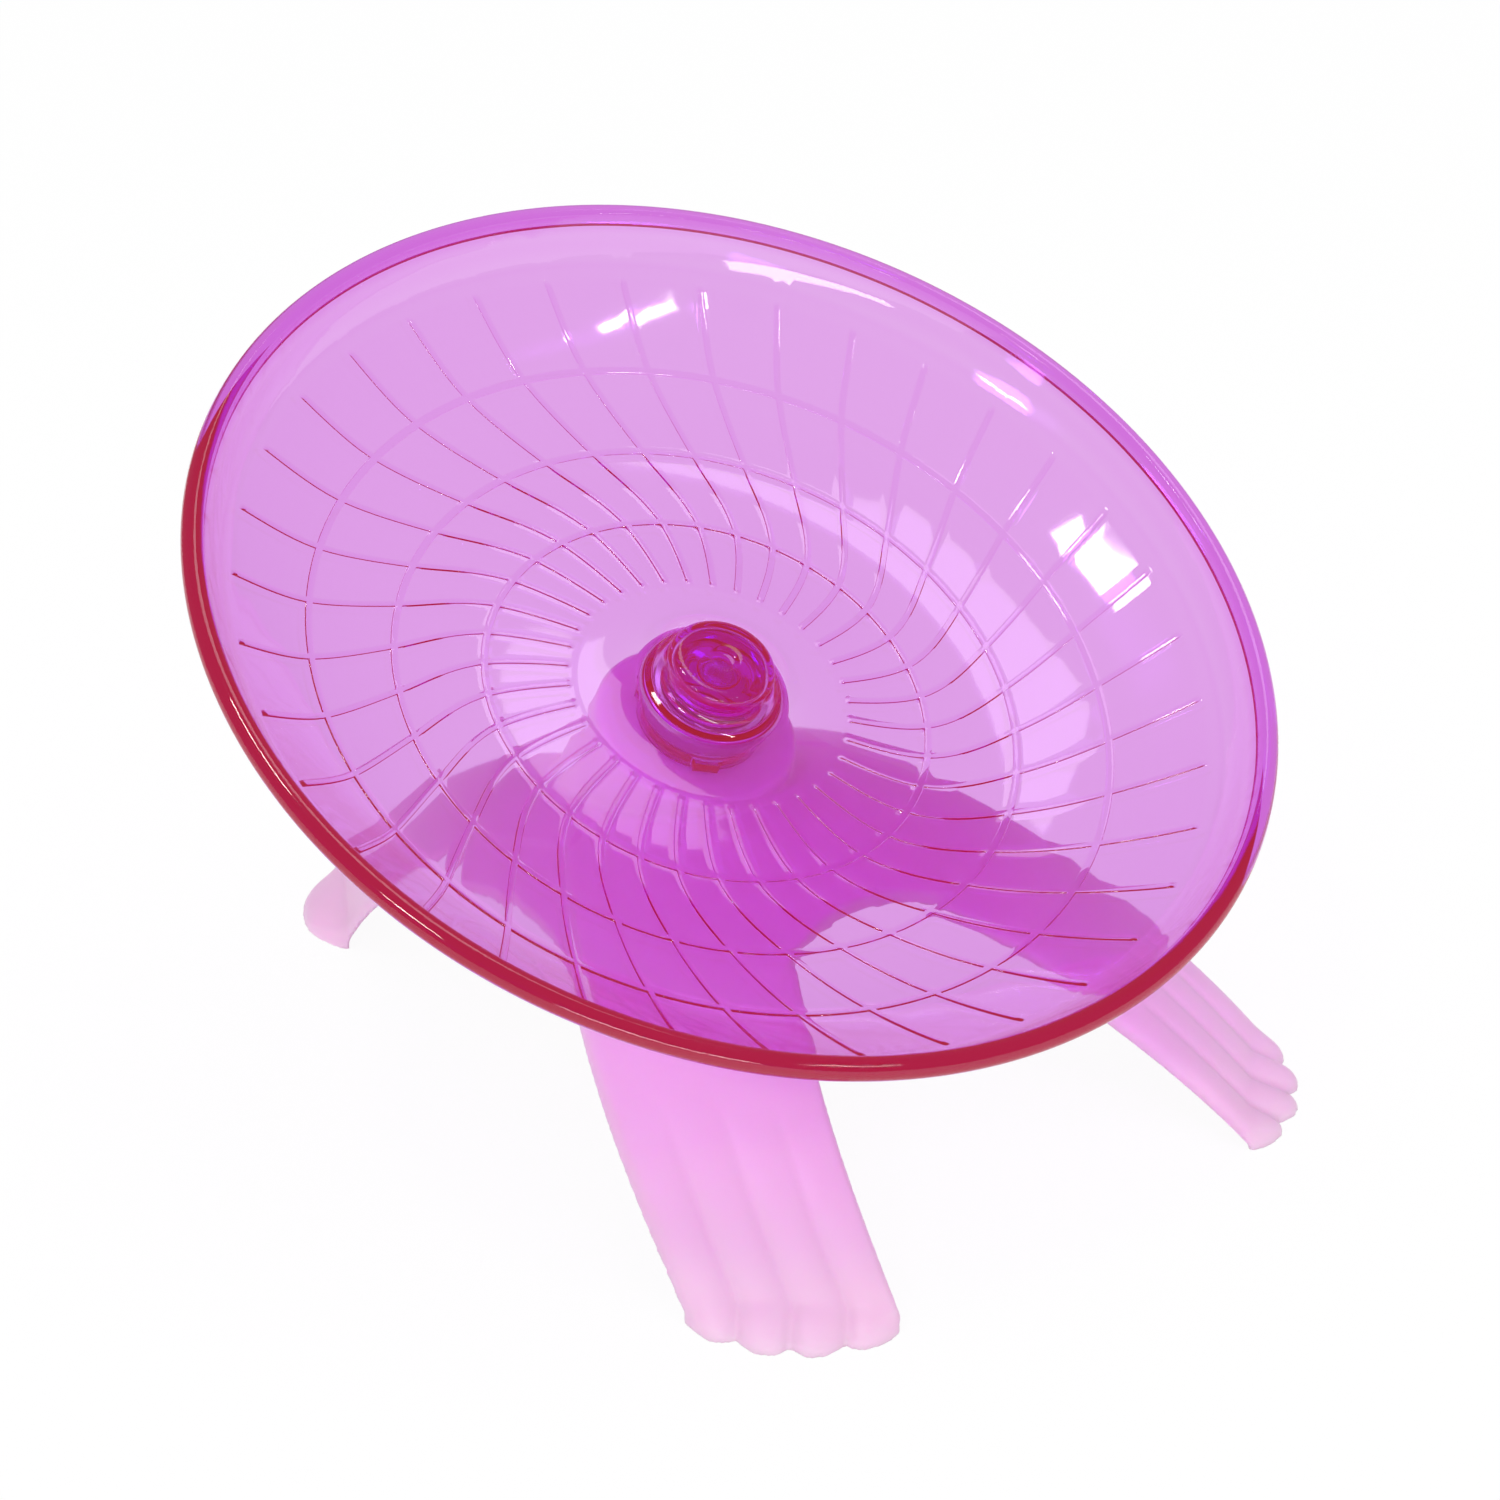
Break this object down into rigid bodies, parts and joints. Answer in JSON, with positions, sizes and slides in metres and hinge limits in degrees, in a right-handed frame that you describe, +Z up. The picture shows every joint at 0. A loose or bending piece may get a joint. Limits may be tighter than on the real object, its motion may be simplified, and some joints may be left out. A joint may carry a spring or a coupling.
{
  "type": "flying saucer wheel",
  "caption": "Tilted, see-through ribbed saucer that spins on a ball bearing over a four-legged stand with paw-like feet, for a small pet to run on.",
  "frame": {"origin": "middle of the bounding box at its bottom, on the table under the stand", "axes": "+Z up, -Y towards the low side of the saucer, +X to the right seen from the low side"},
  "size_m": [0.1792, 0.1634, 0.1166],
  "materials": {
    "saucer_clear_plastic": "clear, tinted magenta, glossy",
    "stand_frosted_plastic": "frosted, pale pink, satin",
    "spindle_steel": "turned, bright zinc",
    "bearing_steel": "ground and polished",
    "cage_brass": "pressed, satin"
  },
  "bodies": {
    "stand": {"stand": "stand_frosted_plastic", "spindle": "spindle_steel", "bearing_inner_race": "bearing_steel", "retaining_clip": "spindle_steel", "screw_washer": "spindle_steel", "spindle_screw": "spindle_steel"},
    "saucer": {"saucer": "saucer_clear_plastic", "bayonet_ring": "saucer_clear_plastic", "bearing_outer_race": "bearing_steel", "bearing_shield_upper": "bearing_steel", "bearing_shield_lower": "bearing_steel"},
    "cage": {"ball_cage_upper": "cage_brass", "ball_cage_lower": "cage_brass", "ball_1": "bearing_steel", "ball_2": "bearing_steel", "ball_3": "bearing_steel", "ball_4": "bearing_steel", "ball_5": "bearing_steel", "ball_6": "bearing_steel", "ball_7": "bearing_steel"}
  },
  "joints": [
    {"name": "saucer_spin", "type": "hinge", "parent": "stand", "child": "saucer", "pos_m": [0, 0.01168, 0.0542], "axis": [0, -0.4384, 0.8988], "continuous": true},
    {"name": "cage_spin", "type": "hinge", "parent": "stand", "child": "cage", "pos_m": [0, 0.01168, 0.0542], "axis": [0, -0.4384, 0.8988], "continuous": true}
  ],
  "couplings": [
    {"joint": "cage_spin", "follows": "saucer_spin", "ratio": 0.628}
  ]
}
